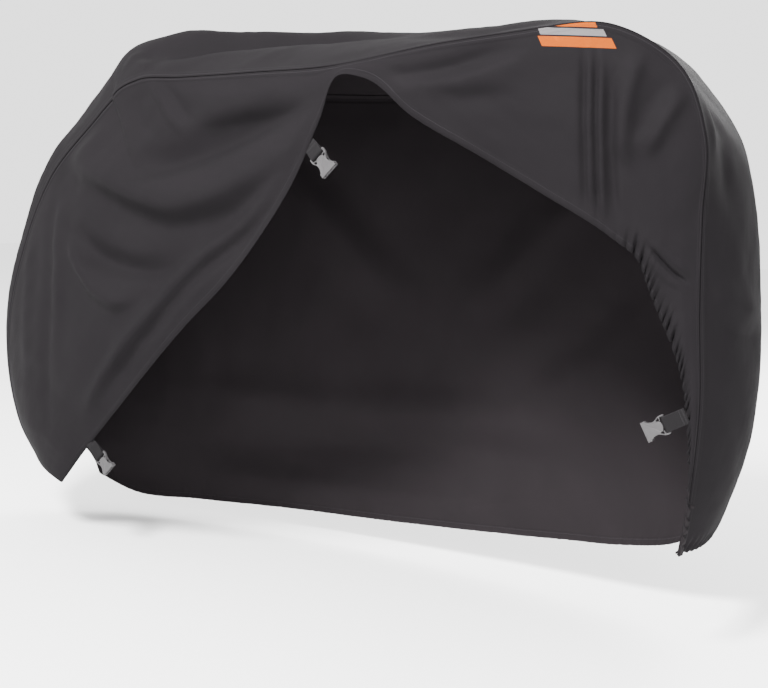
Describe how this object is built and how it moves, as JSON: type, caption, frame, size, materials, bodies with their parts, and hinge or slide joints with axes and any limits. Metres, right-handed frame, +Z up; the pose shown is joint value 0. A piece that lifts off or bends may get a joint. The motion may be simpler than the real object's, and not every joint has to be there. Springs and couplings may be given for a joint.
{
  "type": "bicycle cover",
  "caption": "Fitted cloth cover shaped as it hangs over a bicycle, hollow and open below, with one side's elastic hem lifted to leave a V-shaped opening, and webbing straps with buckle sockets.",
  "frame": {"origin": "underside of the cover's top, midway along its length, where the bicycle inside holds it up", "axes": "+X along the bicycle to the front wheel, +Y across it to the side whose hem hangs down, +Z up"},
  "size_m": [1.9122, 0.7346, 1.1533],
  "materials": {
    "coated_cloth": "closely woven black polyester with a soft coated sheen",
    "webbing": "matt black woven webbing",
    "buckle_plastic": "satin light grey moulded plastic"
  },
  "bodies": {
    "root": {"near_panel": "coated_cloth", "top_strip": "coated_cloth", "far_panel": "coated_cloth", "strap_rear": "webbing", "strap_middle": "webbing", "strap_front": "webbing", "buckle_rear": "buckle_plastic", "buckle_middle": "buckle_plastic", "buckle_front": "buckle_plastic"}
  },
  "joints": []
}
